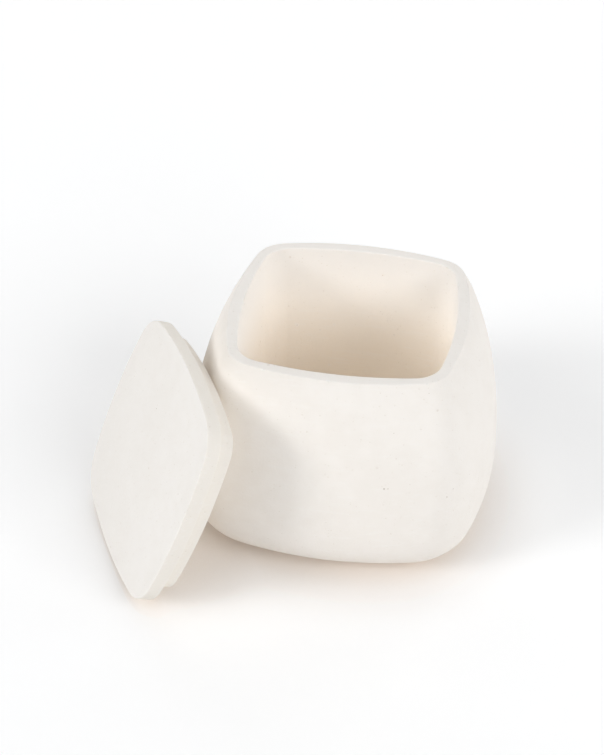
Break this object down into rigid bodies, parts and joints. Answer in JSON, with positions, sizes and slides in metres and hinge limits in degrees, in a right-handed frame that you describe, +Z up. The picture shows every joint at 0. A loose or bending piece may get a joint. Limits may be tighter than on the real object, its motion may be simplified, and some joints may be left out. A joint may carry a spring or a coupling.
{
  "type": "storage box",
  "caption": "Cast mineral storage box with a rounded square body that swells below its rim, and a loose slab lid with a locating plug, leaning against its side.",
  "frame": {"origin": "middle of the flat underside of the box body", "axes": "+Z up, out of the mouth; X and Y square to the sides of the box body; the lid leans on the -X side, towards -Y"},
  "size_m": [0.1589, 0.1505, 0.0858],
  "materials": {
    "cast_mineral": "matte"
  },
  "bodies": {
    "body": {"box_body": "cast_mineral"},
    "lid": {"lid": "cast_mineral"}
  },
  "joints": [
    {"name": "lid_lift", "type": "slide", "parent": "body", "child": "lid", "axis": [0, 0, 1], "range_m": [0, 0.12]}
  ]
}
